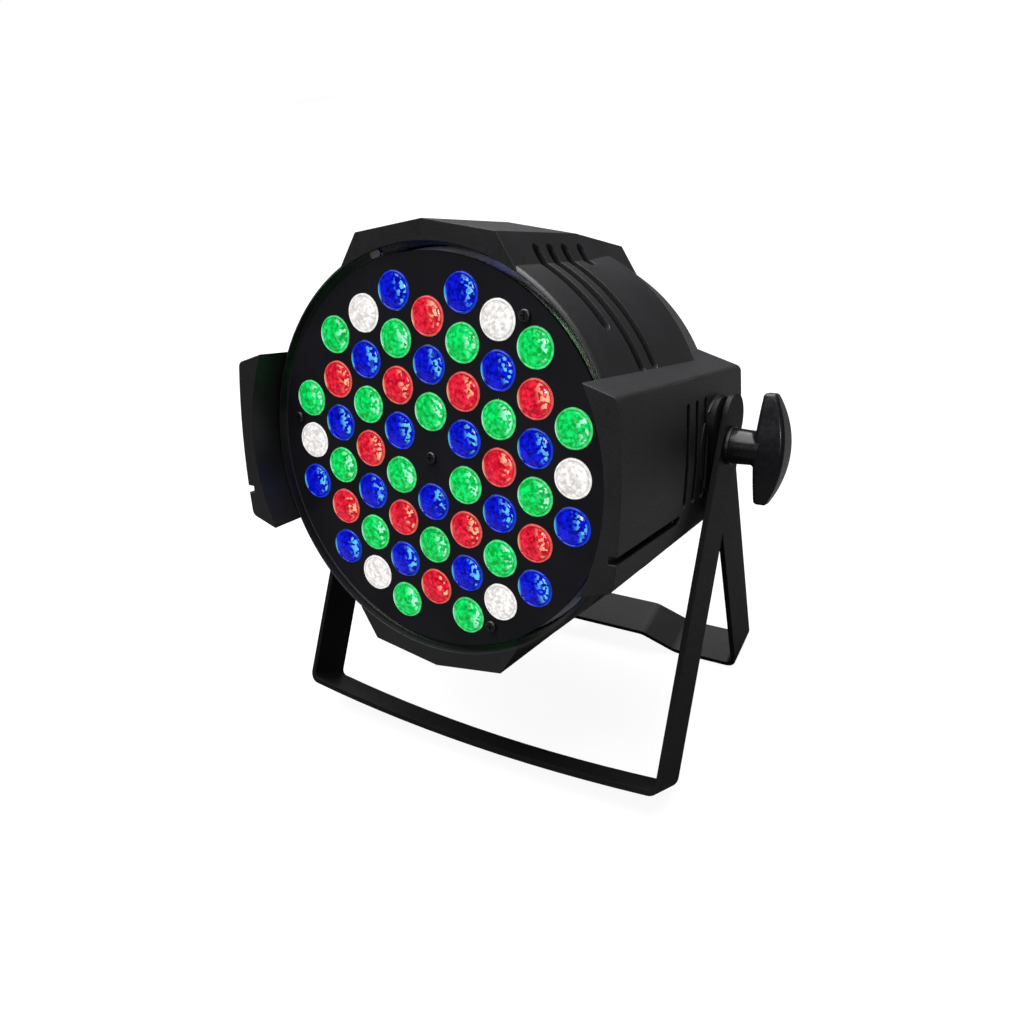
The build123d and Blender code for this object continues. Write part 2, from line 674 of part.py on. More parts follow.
def xlr_body(x, bore_depth):
    """Round three-pole socket with a square flange."""
    y_face = COVER_BACK + 4.0
    body = depth_cylinder(XLR_R, HOUSING_DEPTH - 18, y_face, x, XLR_Z)
    plate = depth_box(XLR_FLANGE[0], XLR_FLANGE[1], COVER_BACK, COVER_BACK + 2, x, XLR_Z)
    plate = fillet(plate.edges().filter_by(Axis.Y), 2.5)
    for sx, sz in ((-9.5, 12), (9.5, -12)):
        plate -= depth_cylinder(SCREW_HOLE_R, COVER_BACK - 1, COVER_BACK + 3, x + sx, XLR_Z + sz)
    body += plate
    if bore_depth:
        body -= depth_cylinder(XLR_BORE_R, y_face - bore_depth, y_face + 1, x, XLR_Z)
    return body


def xlr_pin_places(x):
    return [(x + XLR_PIN_CIRCLE * cos(radians(a)), XLR_Z + XLR_PIN_CIRCLE * sin(radians(a))) for a in (210, 270, 330)]


def xlr_in():
    """Signal inlet: an open cup around three pins."""
    return xlr_body(XLR_IN_X, 16)


def xlr_in_pins():
    floor = COVER_BACK + 4.0 - 16
    return group([depth_cylinder(1.2, floor, floor + 9, x, z) for x, z in xlr_pin_places(XLR_IN_X)])


def xlr_out():
    """Signal outlet: a plug face with three contact holes and a key slot."""
    body = xlr_body(XLR_OUT_X, 0)
    face = COVER_BACK + 4.0
    groove = depth_cylinder(XLR_BORE_R, face - 3, face + 1, XLR_OUT_X, XLR_Z)
    groove -= depth_cylinder(XLR_BORE_R - 1.6, face - 4, face + 2, XLR_OUT_X, XLR_Z)
    body -= groove
    for x, z in xlr_pin_places(XLR_OUT_X):
        body -= depth_cylinder(1.4, face - 12, face + 1, x, z)
    return body


def power_inlet():
    """Mains inlet with a flange and an open mouth."""
    y_face = COVER_BACK + 3.5
    shell = depth_box(INLET_OUTER[0], INLET_OUTER[1], HOUSING_DEPTH - 18, y_face, INLET_X, XLR_Z)
    flange = depth_box(INLET_FLANGE[0], INLET_FLANGE[1], COVER_BACK, COVER_BACK + 2.5, INLET_X, XLR_Z)
    flange = fillet(flange.edges().filter_by(Axis.Y), 4)
    shell += flange
    mouth = depth_box(INLET_INNER[0], INLET_INNER[1], y_face - 16, y_face + 1, INLET_X, XLR_Z)
    shell -= chamfer(mouth.edges().filter_by(Axis.Y).sort_by(Axis.Z)[-2:], 4)
    for side in (-20, 20):
        shell -= depth_cylinder(SCREW_HOLE_R, COVER_BACK - 1, COVER_BACK + 4, INLET_X + side, XLR_Z)
    return shell


def power_inlet_pins():
    floor = COVER_BACK + 3.5 - 16
    places = ((-7, -2.5), (7, -2.5), (0, 2.5))
    return group([depth_box(2, 4, floor, floor + 10, INLET_X + px, XLR_Z + pz) for px, pz in places])


def fuse_holder():
    body = depth_cylinder(FUSE_R, HOUSING_DEPTH - 26, COVER_BACK + 2, FUSE_X, FUSE_Z)
    return body + depth_cylinder(FUSE_R + 1.8, COVER_BACK, COVER_BACK + 2, FUSE_X, FUSE_Z)


def fuse_cap():
    top = COVER_BACK + 8
    cap = depth_cylinder(FUSE_R, COVER_BACK + 2, top, FUSE_X, FUSE_Z)
    return cap - depth_box(8, 1.6, top - 1.2, top + 1, FUSE_X, FUSE_Z)


def safety_eye():
    """Steel eye for the safety cable, on a foot held by two screws."""
    foot = depth_box(28, 12, COVER_BACK, COVER_BACK + 2.5, 0, EYE_Z)
    foot = fillet(foot.edges().filter_by(Axis.Y), 3)
    fin = Box(3, 10, 16).moved(Location((0, COVER_BACK + 6, EYE_Z)))
    fin += cross_cylinder(8, -1.5, 1.5, COVER_BACK + 11, EYE_Z)
    fin -= cross_cylinder(EYE_HOLE_R, -3, 3, COVER_BACK + 11, EYE_Z)
    foot += fin
    for x, z in eye_screw_sites():
        foot -= depth_cylinder(SCREW_HOLE_R, COVER_BACK - 1, COVER_BACK + 4, x, z)
    return foot


def edge_clip():
    """Small bright spring clip between the panel's edge and the rim."""
    x, z = polar(106.0, 107.0)
    clip = Box(6.4, 2.4, 3.4).moved(Location((0, 0.6, 0)))
    clip = fillet(clip.edges().filter_by(Axis.Y), 1.5)
    return clip.moved(Location((x, 0, z), (0, -17, 0)))


# ---- yokes and knobs ----------------------------------------------------------------
def yoke_region(half, depth, bow, inset):
    """Outline of a yoke set in by an inset, with the tilt axis at z = 0."""
    side, low = half - inset, inset - depth
    if bow:
        bottom = ThreePointArc((-side, low), (0, low - bow), (side, low))
    else:
        shift = inset * tan(atan2(STEP_HEIGHT, STEP_OUTER - STEP_INNER) / 2)
        outer, inner, high = STEP_OUTER + shift, STEP_INNER + shift, low + STEP_HEIGHT
        bottom = Polyline(
            (-side, low), (-outer, low), (-inner, high), (inner, high), (outer, low), (side, low)
        )
    sides = Polyline((side, low), (side, 0), (-side, 0), (-side, low))
    return make_face([bottom, sides])


def bend_corners(face, radius, half):
    """Round the two bends between the arms and the crossbar."""
    corners = face.vertices().filter_by(lambda v: abs(abs(v.X) - half) < 0.1 and v.Y < -50)
    return fillet(corners, radius)


def step_corners(face):
    """Round the four bends of the step."""
    corners = face.vertices().filter_by(lambda v: abs(v.X) < STEP_OUTER + 5 and v.Y < -50)
    return fillet(corners, STEP_BEND_R)


def yoke(half, length, bow=0.0):
    """A flat bar bent to a U, with round arm ends drilled for the tilt axis."""
    outer = bend_corners(yoke_region(half, length, bow, 0), BEND_R, half)
    inner = bend_corners(yoke_region(half, length, bow, BAR_T), BEND_R - BAR_T, half - BAR_T)
    if not bow:
        outer = step_corners(outer)
        inner = step_corners(inner)
    strip = extrude(Plane.XZ * (outer - inner), amount=BAR_W / 2, both=True)
    arm_end = Pos(0, (ARM_TOP - BAR_W / 2) / 2) * Rectangle(BAR_W, ARM_TOP - BAR_W / 2)
    arm_end += Pos(0, ARM_TOP - BAR_W / 2) * Circle(BAR_W / 2)
    end_solid = extrude(Plane.YZ * arm_end, amount=BAR_T)
    for start in (half - BAR_T, -half):
        strip += end_solid.moved(Location((start, 0, 0)))
    return strip - cross_cylinder(ARM_HOLE_R, -half - 5, half + 5)


def front_yoke_length():
    """Length that makes the leaning front yoke just touch the floor."""
    lean = radians(FRONT_LEAN)
    return (PIVOT_HEIGHT - BAR_W / 2 * sin(lean)) / cos(lean) - FRONT_BOW


def on_axis(shape, lean=0.0):
    """Move a shape drawn around the tilt axis to its place; lean is forward of down."""
    return shape.moved(Location((0, PIVOT_Y, PIVOT_HEIGHT), (-lean, 0, 0)))


def rear_yoke():
    bar = yoke(REAR_HALF, REAR_LENGTH)
    hole = Cylinder(CLAMP_HOLE_R, 40).moved(Location((0, 0, -REAR_LENGTH)))
    return on_axis(bar - hole, REAR_LEAN)


def front_yoke():
    return on_axis(yoke(FRONT_HALF, front_yoke_length(), FRONT_BOW), FRONT_LEAN)


def side_solid(shape, side):
    """A piece of the knob stack, drawn for the right side around the tilt axis."""
    return shape if side > 0 else mirror(shape, about=Plane.YZ)


def washer(side):
    start = FRONT_HALF + GAP
    disc = cross_cylinder(WASHER_R, start, start + WASHER_T)
    disc -= cross_cylinder(ARM_HOLE_R, start - 1, start + 3)
    return on_axis(side_solid(disc, side))


def is_saddle(point):
    """Whether a point lies on the seam between a knob's hub and its wing."""
    return abs(point.X - WING_START) < 2.5 and hypot(point.Y, point.Z) < HUB_R + 1.5


def knob(side):
    """Moulded T knob: a round hub under a crescent wing."""
    start = FRONT_HALF + GAP + WASHER_T
    hub = make_face(Polyline(
        (0, start), (HUB_R, start), (HUB_R, start + 3), (HUB_END_R, WING_START + 3), (0, WING_START + 3),
        close=True,
    ))
    hub = revolve(hub, axis=Axis.Y).rotate(Axis.Z, -90)
    front = make_face([
        Polyline((WING_TIP, -WING_HALF), (WING_TIP_START, -WING_HALF), (WING_START, 0),
                 (WING_TIP_START, WING_HALF), (WING_TIP, WING_HALF)),
        ThreePointArc((WING_TIP, WING_HALF), (WING_CREST, 0), (WING_TIP, -WING_HALF)),
    ])
    crescent = extrude(Plane.XZ * front, amount=WING_HALF_T + 1, both=True)
    plan = make_face([
        ThreePointArc((-WING_TIP_HALF_T, -WING_HALF), (-WING_HALF_T, 0), (-WING_TIP_HALF_T, WING_HALF)),
        Line((-WING_TIP_HALF_T, WING_HALF), (WING_TIP_HALF_T, WING_HALF)),
        ThreePointArc((WING_TIP_HALF_T, WING_HALF), (WING_HALF_T, 0), (WING_TIP_HALF_T, -WING_HALF)),
        Line((WING_TIP_HALF_T, -WING_HALF), (-WING_TIP_HALF_T, -WING_HALF)),
    ])
    depth = extrude((Plane.YZ * plan).moved(Location((WING_START - 5, 0, 0))), amount=30)
    wing = crescent & depth
    wing = fillet(wing.edges(), WING_FILLET)
    body = hub + wing
    saddle = body.edges().filter_by(lambda edge: is_saddle(edge.center()))
    body = fillet(saddle, SADDLE_FILLET).rotate(Axis.X, -WING_LEAN)
    body -= cross_cylinder(STUD_R, start - 1, start + 12)
    return on_axis(side_solid(body, side), HEAD_TILT)


def stud(side):
    """Threaded stud moulded into the knob, which screws into the cheek's insert."""
    start = FRONT_HALF + GAP + WASHER_T
    rod = cross_cylinder(STUD_R, STUD_INNER, start + 12)
    rod = chamfer(rod.edges().filter_by(GeomType.CIRCLE).sort_by(Axis.X)[0], 0.8)
    return on_axis(side_solid(rod, side), HEAD_TILT)


# ---- every node ---------------------------------------------------------------------
def cover_screw_set(sites, seat, length, facing=1, head_r=2.9):
    return group([screw(x, z, seat, length, head_r, 1.7, facing) for x, z in sites])


def head_nodes():
    sink_front = BOARD_FRONT + BOARD_T
    nodes = {
        "housing_shell": housing_shell(),
        "lens_panel": lens_panel(),
        "led_emitters": emitters(),
        "led_board": led_board(),
        "heat_sink": heat_sink(),
        "panel_standoffs": panel_standoffs(),
        "panel_screws": cover_screw_set(panel_screw_sites(), 0, 12, -1, 3.2),
        "board_screws": cover_screw_set(board_screw_sites(), BOARD_FRONT, 5, -1, 2.4),
        "sink_screws": cover_screw_set(sink_screw_sites(), sink_front, 7, -1, 2.4),
        "edge_clip": edge_clip(),
        "driver_posts": post_set(DRIVER_POSTS, SEAT_DEPTH, DRIVER_DEPTH),
        "driver_board": circuit_board(DRIVER_SIZE, DRIVER_DEPTH, DRIVER_POSTS),
        "driver_parts": driver_parts(),
        "driver_screws": cover_screw_set(DRIVER_POSTS, DRIVER_DEPTH + BOARD_T, 6, 1, 2.4),
        "supply_posts": post_set(SUPPLY_POSTS, SEAT_DEPTH, SUPPLY_DEPTH),
        "supply_board": circuit_board(SUPPLY_SIZE, SUPPLY_DEPTH, SUPPLY_POSTS),
        "supply_parts": supply_parts(),
        "supply_screws": cover_screw_set(SUPPLY_POSTS, SUPPLY_DEPTH + BOARD_T, 6, 1, 2.4),
        "control_board": circuit_board(CONTROL_SIZE, CONTROL_DEPTH, CONTROL_POSTS, CONTROL_Z),
        "control_posts": post_set(CONTROL_POSTS, CONTROL_DEPTH + BOARD_T, HOUSING_DEPTH),
        "button_switches": group([
            depth_box(6, 6, CONTROL_DEPTH + BOARD_T, 131.4, button_x(i), BUTTON_Z) for i in range(4)
        ]),
        "display_module": depth_box(48, 19, CONTROL_DEPTH + BOARD_T, HOUSING_DEPTH, 0, WINDOW_Z),
        "display_window": depth_box(WINDOW_W, WINDOW_H, HOUSING_DEPTH, COVER_BACK - 0.4, 0, WINDOW_Z),
        "rear_cover": rear_cover(),
        "rear_cover_screws": cover_screw_set(cover_screw_sites(), COVER_BACK, 8),
        "fan_frame": fan_frame(),
        "fan_screws": cover_screw_set(fan_screw_sites(), COVER_BACK, 14),
        "fan_rotor": fan_rotor(),
        "xlr_in": xlr_in(),
        "xlr_in_pins": xlr_in_pins(),
        "xlr_out": xlr_out(),
        "power_inlet": power_inlet(),
        "power_inlet_pins": power_inlet_pins(),
        "socket_screws": cover_screw_set(fitting_screw_sites(), COVER_BACK + 2.5, 5, 1, 2.4),
        "fuse_holder": fuse_holder(),
        "fuse_cap": fuse_cap(),
        "safety_eye": safety_eye(),
        "safety_eye_screws": cover_screw_set(eye_screw_sites(), COVER_BACK + 2.5, 7, 1, 2.4),
    }
    for colour in ("red", "green", "blue", "white"):
        nodes[f"lenses_{colour}"] = lens_set(colour)
    for index, name in enumerate(("menu", "down", "up", "enter")):
        nodes[f"button_{name}"] = button(index)
    for name, side in SIDES:
        nodes[f"pivot_nut_{name}"] = pivot_nut(side)
    return {name: head(shape) for name, shape in nodes.items()}


def yoke_nodes():
    nodes = {"rear_yoke": rear_yoke(), "front_yoke": front_yoke()}
    for name, side in SIDES:
        nodes[f"washer_{name}"] = washer(side)
        nodes[f"knob_{name}"] = knob(side)
        nodes[f"knob_stud_{name}"] = stud(side)
    return nodes


def main():
    os.makedirs("parts", exist_ok=True)
    for name, shape in {**head_nodes(), **yoke_nodes()}.items():
        export_step(shape, f"parts/{name}.step")


main()
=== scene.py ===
import json
import math
import random
import bpy
import bmesh
from mathutils import Matrix, Vector


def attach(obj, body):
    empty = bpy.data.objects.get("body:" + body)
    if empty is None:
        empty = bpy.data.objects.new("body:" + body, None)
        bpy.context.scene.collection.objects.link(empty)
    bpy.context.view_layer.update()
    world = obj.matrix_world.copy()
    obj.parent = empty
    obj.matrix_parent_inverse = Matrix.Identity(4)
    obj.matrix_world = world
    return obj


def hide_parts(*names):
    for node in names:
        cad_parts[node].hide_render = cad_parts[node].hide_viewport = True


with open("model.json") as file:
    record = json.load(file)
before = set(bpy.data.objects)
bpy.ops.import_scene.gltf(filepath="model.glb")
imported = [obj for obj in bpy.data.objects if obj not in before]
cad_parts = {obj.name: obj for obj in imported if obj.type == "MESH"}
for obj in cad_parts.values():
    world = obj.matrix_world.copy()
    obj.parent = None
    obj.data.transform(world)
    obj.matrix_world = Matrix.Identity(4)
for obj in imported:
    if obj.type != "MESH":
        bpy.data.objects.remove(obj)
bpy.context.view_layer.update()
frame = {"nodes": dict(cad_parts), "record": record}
nodes = frame["nodes"]
joints = {joint["name"]: joint for joint in frame["record"]["behaviour"]["joints"]}

MM = 0.001

# ---- the head's own frame: x right, y back, z up, from the middle of the lens plane ---
PIVOT = Vector(joints["head_tilt"]["pos_m"])
BACK = Vector(joints["fan_spin"]["axis"]).normalized()
RIGHT = Vector((1, 0, 0))
UP = RIGHT.cross(BACK)
PIVOT_DEPTH = 100 * MM                            # tilt axis behind the lens plane
PIVOT_RISE = 1.5 * MM                             # tilt axis above the lens plane's middle
LENS_MIDDLE = PIVOT - BACK * PIVOT_DEPTH - UP * PIVOT_RISE
HEAD = Matrix((
    (RIGHT.x, BACK.x, UP.x, LENS_MIDDLE.x),
    (RIGHT.y, BACK.y, UP.y, LENS_MIDDLE.y),
    (RIGHT.z, BACK.z, UP.z, LENS_MIDDLE.z),
    (0, 0, 0, 1),
))

# ---- lens shape -----------------------------------------------------------------------
PITCH = 24 * MM                                   # between neighbouring lenses
LATTICE_RINGS = 4
LENS_R = 9.9 * MM
LENS_DOME = 1.9 * MM
LENS_TIP = 0.2 * MM                               # the dome's middle past its curve
LENS_SEGMENTS = 44
DOME_RINGS = 15
CELL = 2.3 * MM                                   # pitch of the small cells moulded into each dome
CELL_REACH = CELL * 0.58
CELL_RELIEF = 0.26 * MM
CELL_FADE = 0.8 * MM                              # cells grow to full height over this width
CELL_TURN_SEED = 54
# radius and depth in mm, from the back of the cone, round the bead, to the dome's foot
LENS_PROFILE = (
    (3.4, 12.4), (5.2, 12.4), (9.0, 3.2), (9.9, 2.6), (9.9, 0.3), (9.82, -0.15), (9.6, -0.42),
    (9.3, -0.46), (9.05, -0.28), (8.9, 0.02),
)

# ---- light in a lens, with its painted glints, highlights and shadow: places in lens radii from its middle, shares from 0 to 1 ---
FACET_SCALE = 640
FACET_CONTRAST = 0.45
FACET_STOPS = (0.48, 0.72, 0.95)                  # where the deep, middle and bright colours lie
MIDDLE_SHARE = 0.4                                # the bright colour's share in the middle one
# painted glints: highlights painted into the lens light on its right side
GLINT_LEAN = 0.25
GLINT_SIDE = (0.12, 0.62)                         # painted glints fill in towards the right side
GLINT_CHOICE = (0.52, 0.72)                       # only some facets take a painted glint
GLINT_INSIDE = (0.90, 0.78)
GLINT_SHARE = 0.85
# painted highlight crescent at the lens's left edge
CRESCENT_HIGHLIGHT_LEAN = 0.12
CRESCENT_HIGHLIGHT_SIDE = (-0.80, -0.93)
CRESCENT_HIGHLIGHT_SHARE = 0.6
SHADOW_START = (0.82, 0.88)
SHADOW_END = (0.93, 0.90)
SHADOW_SHARE = 0.45
SHADOW_TONE = 0.6
# painted highlight along the lens rim, blended towards the glint colour
RIM_HIGHLIGHT_START = (0.90, 0.95)
UNLIT_TONES = (0.08, 0.16)                        # of the deep colour, in the lens's own surface

# ---- stage ----------------------------------------------------------------------------
FLOOR_HALF = 2.8
FLOOR_GLOW = 0.92                                 # lit white paper; only the camera sees its glow
FLOOR_TONES = (0.085, 0.095)
WORLD_LIGHT = 0.07                                # what the white surroundings give the object
CAMERA_FOCAL = 31.16
CAMERA_SENSOR = 36
CAMERA_CLIP = 0.01
CAMERA_PLACE = (0.2753, -0.3562, 0.1089)          # in the head's frame, as are the angles
CAMERA_SWING = 32.41
CAMERA_DIP = 17.20
CAMERA_ROLL = -0.38

# ---- looks of the painted, moulded and metal pieces -----------------------------------
COATED = {
    "body_black": dict(colour=(0.007, 0.007, 0.008), rough=0.44, grain=1100, depth=0.03 * MM,
                       specular=0.34, edge=0.6 * MM),
    "panel_black": dict(colour=(0.005, 0.005, 0.007), rough=0.48, grain=1500, specular=0.14),
    "bar_black": dict(colour=(0.004, 0.004, 0.004), rough=0.46, grain=1300, depth=0.03 * MM,
                      specular=0.09, edge=0.5 * MM),
    "knob_black": dict(colour=(0.005, 0.005, 0.006), rough=0.25, grain=300, depth=0.004 * MM,
                       specular=0.2, edge=0.4 * MM),
    "emitter": dict(colour=(0.80, 0.72, 0.35), rough=0.2),
    "bare_aluminium": dict(colour=(0.52, 0.53, 0.55), rough=0.38, grain=700, metallic=1.0,
                           stretch=(1, 6, 1)),
    "screw_steel": dict(colour=(0.045, 0.045, 0.047), rough=0.42, metallic=1.0),
    "bright_steel": dict(colour=(0.55, 0.55, 0.56), rough=0.26, metallic=1.0),
    "brass": dict(colour=(0.68, 0.46, 0.17), rough=0.28, metallic=1.0),
    "fan_plastic": dict(colour=(0.016, 0.016, 0.017), rough=0.42, grain=600),
    "component_dark": dict(colour=(0.03, 0.03, 0.035), rough=0.4, grain=600),
    "capacitor_sleeve": dict(colour=(0.035, 0.035, 0.06), rough=0.35, grain=400),
    "window_smoke": dict(colour=(0.020, 0.004, 0.004), rough=0.08, grain=300, depth=0.005 * MM),
    "display_face": dict(colour=(0.05, 0.05, 0.05), rough=0.5, grain=600),
    "button_plastic": dict(colour=(0.030, 0.030, 0.032), rough=0.38, grain=700),
    "socket_plastic": dict(colour=(0.018, 0.018, 0.020), rough=0.36, grain=700),
    "contact_metal": dict(colour=(0.72, 0.68, 0.58), rough=0.2, grain=600, depth=0.01 * MM,
                          metallic=1.0),
}

# glint is the colour of the painted highlights; rim_highlight_share sets the painted rim highlight
LIT_LENSES = {
    "lens_red": dict(deep=(0.42, 0.001, 0.010), bright=(0.90, 0.022, 0.060),
                     glint=(1.0, 0.60, 0.34), rim_highlight_share=0.14),
    "lens_green": dict(deep=(0.001, 0.34, 0.035), bright=(0.004, 0.85, 0.17),
                       glint=(0.50, 1.0, 0.80), rim_highlight_share=0.12),
    "lens_blue": dict(deep=(0.0, 0.0005, 0.25), bright=(0.003, 0.010, 0.78),
                      glint=(0.15, 0.72, 1.0), rim_highlight_share=0.05),
    "lens_white": dict(deep=(0.60, 0.57, 0.56), bright=(1.0, 0.98, 0.96),
                       glint=(1.0, 1.0, 0.97), rim_highlight_share=0.25),
}

CIRCUITS = {
    "metal_core_board": dict(mask=(0.70, 0.70, 0.68), track=(0.45, 0.45, 0.43)),
    "green_board": dict(mask=(0.010, 0.11, 0.045), track=(0.03, 0.22, 0.09)),
}


# ---- material helpers -----------------------------------------------------------------
def new_material(name):
    material = bpy.data.materials.new(name)
    material.use_nodes = True
    tree = material.node_tree
    return material, tree, tree.nodes["Principled BSDF"]


def object_noise(tree, scale, detail=3.0, stretch=(1, 1, 1)):
    """Noise in the object's own metres."""
    coords = tree.nodes.new("ShaderNodeTexCoord")
    mapping = tree.nodes.new("ShaderNodeMapping")
    mapping.inputs["Scale"].default_value = stretch
    noise = tree.nodes.new("ShaderNodeTexNoise")
    noise.inputs["Scale"].default_value = scale
    noise.inputs["Detail"].default_value = detail
    tree.links.new(coords.outputs["Object"], mapping.inputs["Vector"])
    tree.links.new(mapping.outputs["Vector"], noise.inputs["Vector"])
    return noise.outputs["Fac"]


def ramp(tree, value, stops):
    """Colours or greys between positions."""
    node = tree.nodes.new("ShaderNodeValToRGB")
    elements = node.color_ramp.elements
    while len(elements) < len(stops):
        elements.new(0.5)
    for element, (position, colour) in zip(elements, stops):
        element.position = position
        element.color = colour if len(colour) == 4 else (*colour, 1)
    tree.links.new(value, node.inputs["Fac"])
    return node.outputs["Color"]


def two_tones(tree, noise, low, high):
    """One colour in the noise's low parts, another in its high parts."""
    return ramp(tree, noise, [(0.3, low), (0.7, high)])


def grey(value):
    return (value, value, value, 1)


def shade(colour, factor):
    return tuple(min(1.0, channel * factor) for channel in colour)


def bump(tree, height, distance, shader, edge=0.0):
    """Bump the shader's normal by a height times a distance in metres; edge rounds corners."""
    node = tree.nodes.new("ShaderNodeBump")
    node.inputs["Strength"].default_value = 1.0
    node.inputs["Distance"].default_value = distance
    tree.links.new(height, node.inputs["Height"])
    if edge:
        bevel = tree.nodes.new("ShaderNodeBevel")
        bevel.samples = 6
        bevel.inputs["Radius"].default_value = edge
        tree.links.new(bevel.outputs["Normal"], node.inputs["Normal"])
    tree.links.new(node.outputs["Normal"], shader.inputs["Normal"])


def math_node(tree, operation, first, second=0.0, third=0.0):
    """One maths step. Each operand is a number or a socket."""
    node = tree.nodes.new("ShaderNodeMath")
    node.operation = operation
    for socket, value in zip(node.inputs, (first, second, third)):
        if isinstance(value, (int, float)):
            socket.default_value = value
        else:
            tree.links.new(value, socket)
    return node.outputs[0]


def smooth_band(tree, value, start, end):
    """0 before start, 1 after end, smooth between."""
    node = tree.nodes.new("ShaderNodeMapRange")
    node.interpolation_type = "SMOOTHSTEP"
    node.inputs["From Min"].default_value = start
    node.inputs["From Max"].default_value = end
    tree.links.new(value, node.inputs["Value"])
    return node.outputs["Result"]


def blend(tree, share, first, second):
    """Mix two colours, each a colour or a socket."""
    node = tree.nodes.new("ShaderNodeMix")
    node.data_type = "RGBA"
    tree.links.new(share, node.inputs["Factor"])
    for name, value in (("A", first), ("B", second)):
        socket = next(i for i in node.inputs if i.name == name and i.type == "RGBA")
        if isinstance(value, tuple):
            socket.default_value = (*value, 1)
        else:
            tree.links.new(value, socket)
    return next(o for o in node.outputs if o.type == "RGBA")


# ---- materials ------------------------------------------------------------------------
def coated(name, colour, rough, grain=900, depth=0.02 * MM, metallic=0.0, specular=0.5,
           stretch=(1, 1, 1), edge=0.0):
    """Paint, plastic or metal: mottled colour and roughness over a fine grain, softened edges."""
    mottle_spread, rough_spread, least_rough = 0.25, 0.07, 0.02
    material, tree, shader = new_material(name)
    broad = object_noise(tree, 38, 4)
    fine = object_noise(tree, grain, 2, stretch)
    mottle = two_tones(tree, broad, shade(colour, 1 - mottle_spread), shade(colour, 1 + mottle_spread))
    rough_low = grey(max(least_rough, rough - rough_spread))
    rough_high = grey(min(1, rough + rough_spread))
    tree.links.new(mottle, shader.inputs["Base Color"])
    tree.links.new(two_tones(tree, fine, rough_low, rough_high), shader.inputs["Roughness"])
    shader.inputs["Metallic"].default_value = metallic
    shader.inputs["Specular IOR Level"].default_value = specular
    bump(tree, fine, depth, shader, edge)
    return material


def circuit(name, mask, track):
    """Solder mask over a grid of tracks."""
    material, tree, shader = new_material(name)
    coords = tree.nodes.new("ShaderNodeTexCoord")
    brick = tree.nodes.new("ShaderNodeTexBrick")
    brick.inputs["Scale"].default_value = 160
    brick.inputs["Mortar Size"].default_value = 0.06
    brick.inputs["Color1"].default_value = (*mask, 1)
    brick.inputs["Color2"].default_value = (*shade(mask, 0.8), 1)
    brick.inputs["Mortar"].default_value = (*track, 1)
    tree.links.new(coords.outputs["Object"], brick.inputs["Vector"])
    tree.links.new(brick.outputs["Color"], shader.inputs["Base Color"])
    shader.inputs["Roughness"].default_value = 0.35
    bump(tree, object_noise(tree, 500), 0.02 * MM, shader)
    return material


def lens_field(tree):
    """Where a point lies in its lens, across, up and outward, in lens radii from the middle."""
    coords = tree.nodes.new("ShaderNodeTexCoord")
    split = tree.nodes.new("ShaderNodeSeparateXYZ")
    tree.links.new(coords.outputs["UV"], split.inputs["Vector"])
    across = math_node(tree, "MULTIPLY_ADD", split.outputs["X"], 2.0, -1.0)
    up = math_node(tree, "MULTIPLY_ADD", split.outputs["Y"], 2.0, -1.0)
    square = math_node(tree, "MULTIPLY_ADD", across, across, math_node(tree, "MULTIPLY", up, up))
    return across, up, math_node(tree, "SQRT", square)


def facet_numbers(tree):
    """Two numbers from 0 to 1 that differ from facet to facet."""
    coords = tree.nodes.new("ShaderNodeTexCoord")
    cells = tree.nodes.new("ShaderNodeTexVoronoi")
    cells.inputs["Scale"].default_value = FACET_SCALE
    tree.links.new(coords.outputs["Object"], cells.inputs["Vector"])
    split = tree.nodes.new("ShaderNodeSeparateColor")
    tree.links.new(cells.outputs["Color"], split.inputs["Color"])
    return split.outputs["Red"], split.outputs["Green"]


def lit_lens(name, deep, bright, glint, rim_highlight_share):
    """Clear moulded lens full of light: facets, a painted highlight along the pale rim, painted glints
    on a brighter right side, a painted highlight crescent at the left edge and a painted shadow inside
    the rim.
    """
    material, tree, shader = new_material(name)
    across, up, radius = lens_field(tree)
    facet_light, facet_choice = facet_numbers(tree)
    mottle = object_noise(tree, 420, 3)

    def side(lean, band):
        return smooth_band(tree, math_node(tree, "MULTIPLY_ADD", up, lean, across), *band)

    def product(first, second):
        return math_node(tree, "MULTIPLY", first, second)

    facets = math_node(tree, "MULTIPLY_ADD", facet_light, FACET_CONTRAST, mottle)
    middle = tuple(a * (1 - MIDDLE_SHARE) + b * MIDDLE_SHARE for a, b in zip(deep, bright))
    glow = ramp(tree, facets, list(zip(FACET_STOPS, (deep, middle, bright))))

    # painted glints on some facets towards the right side
    glint_facets = smooth_band(tree, facet_choice, *GLINT_CHOICE)
    glint_reach = smooth_band(tree, radius, *GLINT_INSIDE)
    painted_glints = product(product(side(GLINT_LEAN, GLINT_SIDE), glint_facets), glint_reach)
    glow = blend(tree, product(painted_glints, GLINT_SHARE), glow, glint)

    # painted highlight crescent at the left edge, blended towards the glint colour
    painted_crescent = side(CRESCENT_HIGHLIGHT_LEAN, CRESCENT_HIGHLIGHT_SIDE)
    glow = blend(tree, product(painted_crescent, CRESCENT_HIGHLIGHT_SHARE), glow, glint)

    shadow = product(smooth_band(tree, radius, *SHADOW_START), smooth_band(tree, radius, *SHADOW_END))
    glow = blend(tree, product(shadow, SHADOW_SHARE), glow, shade(deep, SHADOW_TONE))
    # painted highlight along the rim
    glow = blend(tree, product(smooth_band(tree, radius, *RIM_HIGHLIGHT_START), rim_highlight_share), glow, glint)

    unlit = two_tones(tree, mottle, *(shade(deep, tone) for tone in UNLIT_TONES))
    tree.links.new(glow, shader.inputs["Emission Color"])
    tree.links.new(unlit, shader.inputs["Base Color"])
    shader.inputs["Emission Strength"].default_value = 1.0
    shader.inputs["Roughness"].default_value = 0.10
    shader.inputs["Specular IOR Level"].default_value = 0.30
    bump(tree, mottle, 0.12 * MM, shader)
    return material


